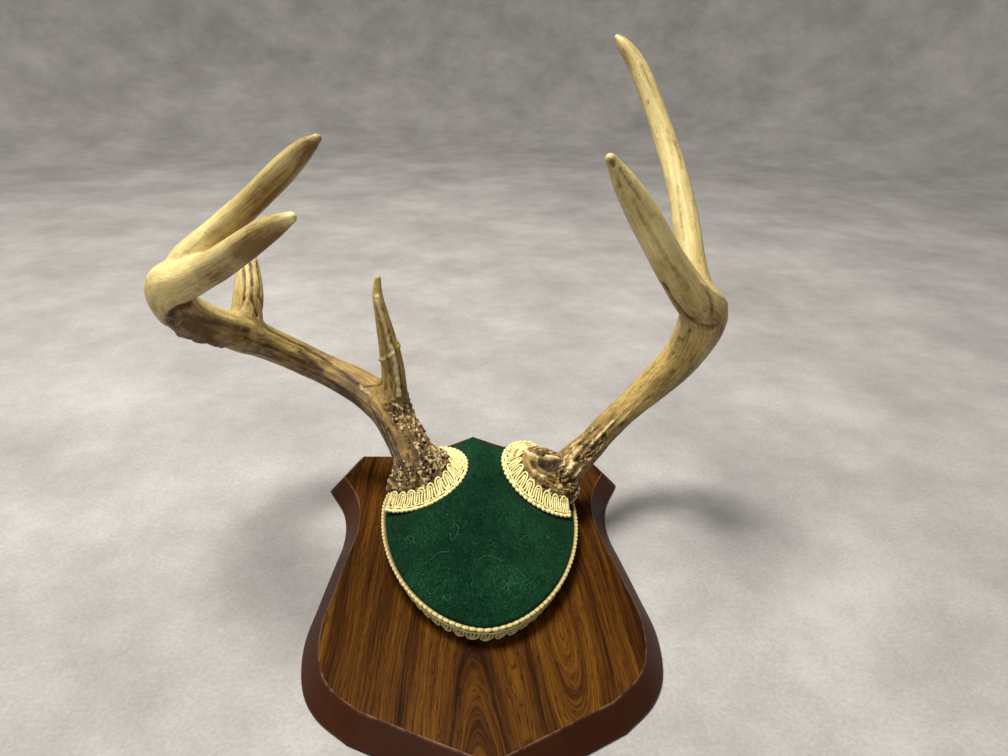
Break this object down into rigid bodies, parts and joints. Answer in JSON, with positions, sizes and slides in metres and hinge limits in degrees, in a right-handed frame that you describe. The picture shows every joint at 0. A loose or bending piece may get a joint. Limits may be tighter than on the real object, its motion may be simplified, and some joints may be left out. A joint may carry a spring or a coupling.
{
  "type": "whitetail antler plaque mount",
  "caption": "Whitetail deer antlers on a green felt skull cap with cream scroll braid, mounted on a shield-shaped walnut-look board with a bevelled brown edge.",
  "frame": {"origin": "centre of the board's flat back face", "axes": "+Z out of the board towards the antlers, +Y towards the board's top point, +X to the right seen from the front with the top point up"},
  "size_m": [0.3347, 0.3238, 0.3015],
  "materials": {
    "board_walnut": "satin walnut print on the face",
    "board_edge": "satin chocolate-brown painted bevel",
    "felt": "bottle-green wool felt",
    "braid": "cream-yellow rayon scroll gimp",
    "antler": "satin antler, brown at the base to ivory at the tips",
    "steel": "zinc-plated steel"
  },
  "bodies": {
    "root": {"board": "board_walnut", "hanger": "steel", "screw_1": "steel", "screw_2": "steel", "screw_3": "steel", "skull_cap": "felt", "braid_rim": "braid", "braid_left_burr": "braid", "braid_right_burr": "braid", "left_burr": "antler", "left_beam_lower": "antler", "left_beam_middle": "antler", "left_beam_upper": "antler", "left_beam_tip": "antler", "left_brow_tine": "antler", "left_second_tine": "antler", "left_third_tine": "antler", "right_burr": "antler", "right_beam_lower": "antler", "right_beam_upper": "antler", "right_beam_tip": "antler", "right_second_tine": "antler"}
  },
  "joints": []
}
